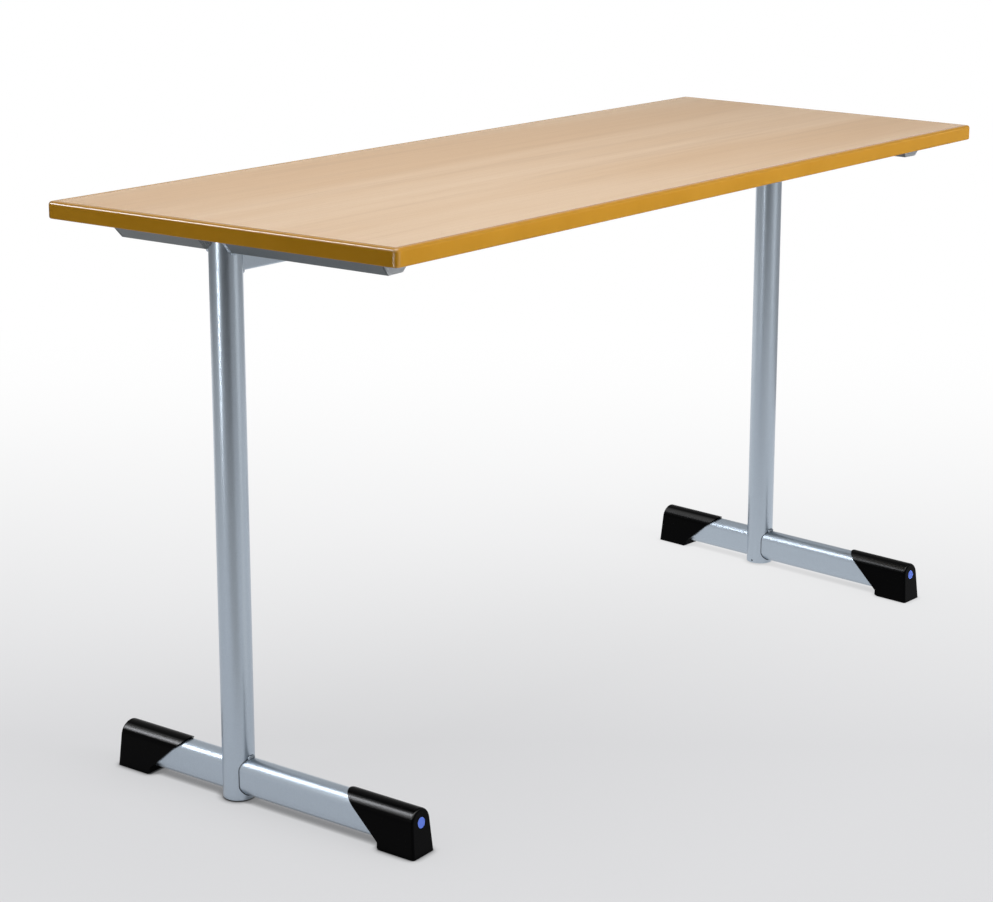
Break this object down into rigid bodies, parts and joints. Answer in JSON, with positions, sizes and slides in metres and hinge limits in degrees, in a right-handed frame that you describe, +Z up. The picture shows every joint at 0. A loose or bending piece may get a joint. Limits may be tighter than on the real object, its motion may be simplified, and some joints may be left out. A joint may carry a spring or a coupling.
{
  "type": "school desk",
  "caption": "School desk: slightly tapered beech-look board with a cast plastic edge, on T-shaped tubular steel end frames joined by a rail, with moulded foot caps.",
  "frame": {"origin": "on the floor, below the middle of the board", "axes": "+X along the desk to the right, +Y from the near, shorter long edge to the far one, +Z up"},
  "size_m": [1.3994, 0.555, 0.76],
  "materials": {
    "beech_laminate": "satin",
    "core_board": "matte",
    "backing_sheet": "matte",
    "cast_edge": "satin",
    "frame_paint": "satin",
    "cap_plastic": "satin",
    "mark_plastic": "satin",
    "zinc_steel": "bright"
  },
  "bodies": {
    "root": {"top_core": "core_board", "top_laminate": "beech_laminate", "backing_laminate": "backing_sheet", "edge_moulding": "cast_edge", "long_rail": "frame_paint", "rail_welds": "frame_paint", "left_column": "frame_paint", "left_column_plug": "cap_plastic", "left_foot_tube": "frame_paint", "left_foot_welds": "frame_paint", "left_bearer": "frame_paint", "left_bearer_welds": "frame_paint", "left_bearer_screws": "zinc_steel", "left_front_cap": "cap_plastic", "left_front_size_mark": "mark_plastic", "left_back_cap": "cap_plastic", "left_back_size_mark": "mark_plastic", "right_column": "frame_paint", "right_column_plug": "cap_plastic", "right_foot_tube": "frame_paint", "right_foot_welds": "frame_paint", "right_bearer": "frame_paint", "right_bearer_welds": "frame_paint", "right_bearer_screws": "zinc_steel", "right_front_cap": "cap_plastic", "right_front_size_mark": "mark_plastic", "right_back_cap": "cap_plastic", "right_back_size_mark": "mark_plastic"}
  },
  "joints": []
}
